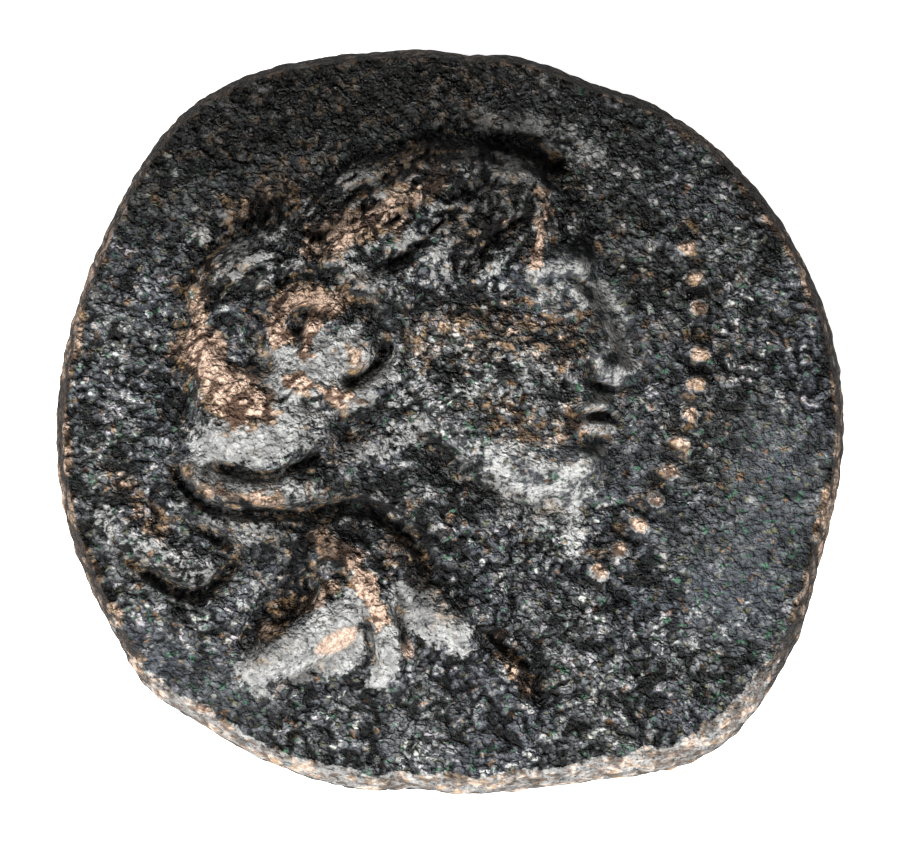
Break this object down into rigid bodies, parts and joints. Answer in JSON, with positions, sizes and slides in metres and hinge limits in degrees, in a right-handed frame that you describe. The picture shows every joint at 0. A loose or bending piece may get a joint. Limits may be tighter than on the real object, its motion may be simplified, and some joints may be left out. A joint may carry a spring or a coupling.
{
  "type": "ancient bronze coin",
  "caption": "Worn struck bronze coin of irregular round outline, with a relief head in a dotted border on one side and a palm branch on the other.",
  "frame": {"origin": "middle of the coin's box, on the surface that it lies on", "axes": "+Z out of the obverse, +X to the right and +Y to the top of the relief head"},
  "size_m": [0.018, 0.017, 0.0039],
  "materials": {
    "bronze_patina": "dark granular patina, bare copper-brown metal on the high points and round the edge"
  },
  "bodies": {
    "root": {"coin": "bronze_patina"}
  },
  "joints": []
}
